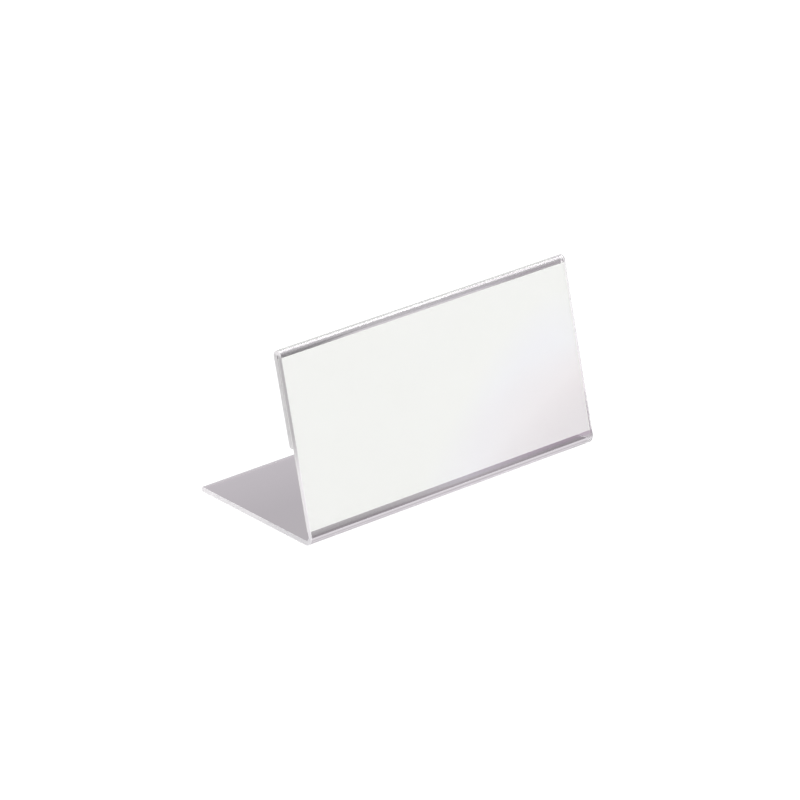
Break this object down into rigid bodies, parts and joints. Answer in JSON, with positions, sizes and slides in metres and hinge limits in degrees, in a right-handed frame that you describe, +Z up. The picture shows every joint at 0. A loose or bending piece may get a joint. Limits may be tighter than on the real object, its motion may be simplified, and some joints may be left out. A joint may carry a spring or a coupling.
{
  "type": "place card holder",
  "caption": "Clear folded sheet stand with a flat foot, a leaning front pane and a short back flap; a plain card slides sideways into the pocket between pane and flap.",
  "frame": {"origin": "on the table, under the middle of the holder's outline", "axes": "+X along the width, +Y from the leaning front pane towards the rear edge of the foot, +Z up"},
  "size_m": [0.1, 0.0463, 0.0522],
  "materials": {
    "clear_sheet": "clear polished sheet",
    "card_paper": "smooth uncoated white card"
  },
  "bodies": {
    "stand": {"folded_stand": "clear_sheet"},
    "card": {"name_card": "card_paper"}
  },
  "joints": [
    {"name": "card_slide", "type": "slide", "parent": "stand", "child": "card", "axis": [1, 0, 0], "range_m": [-0.1, 0.1]}
  ]
}
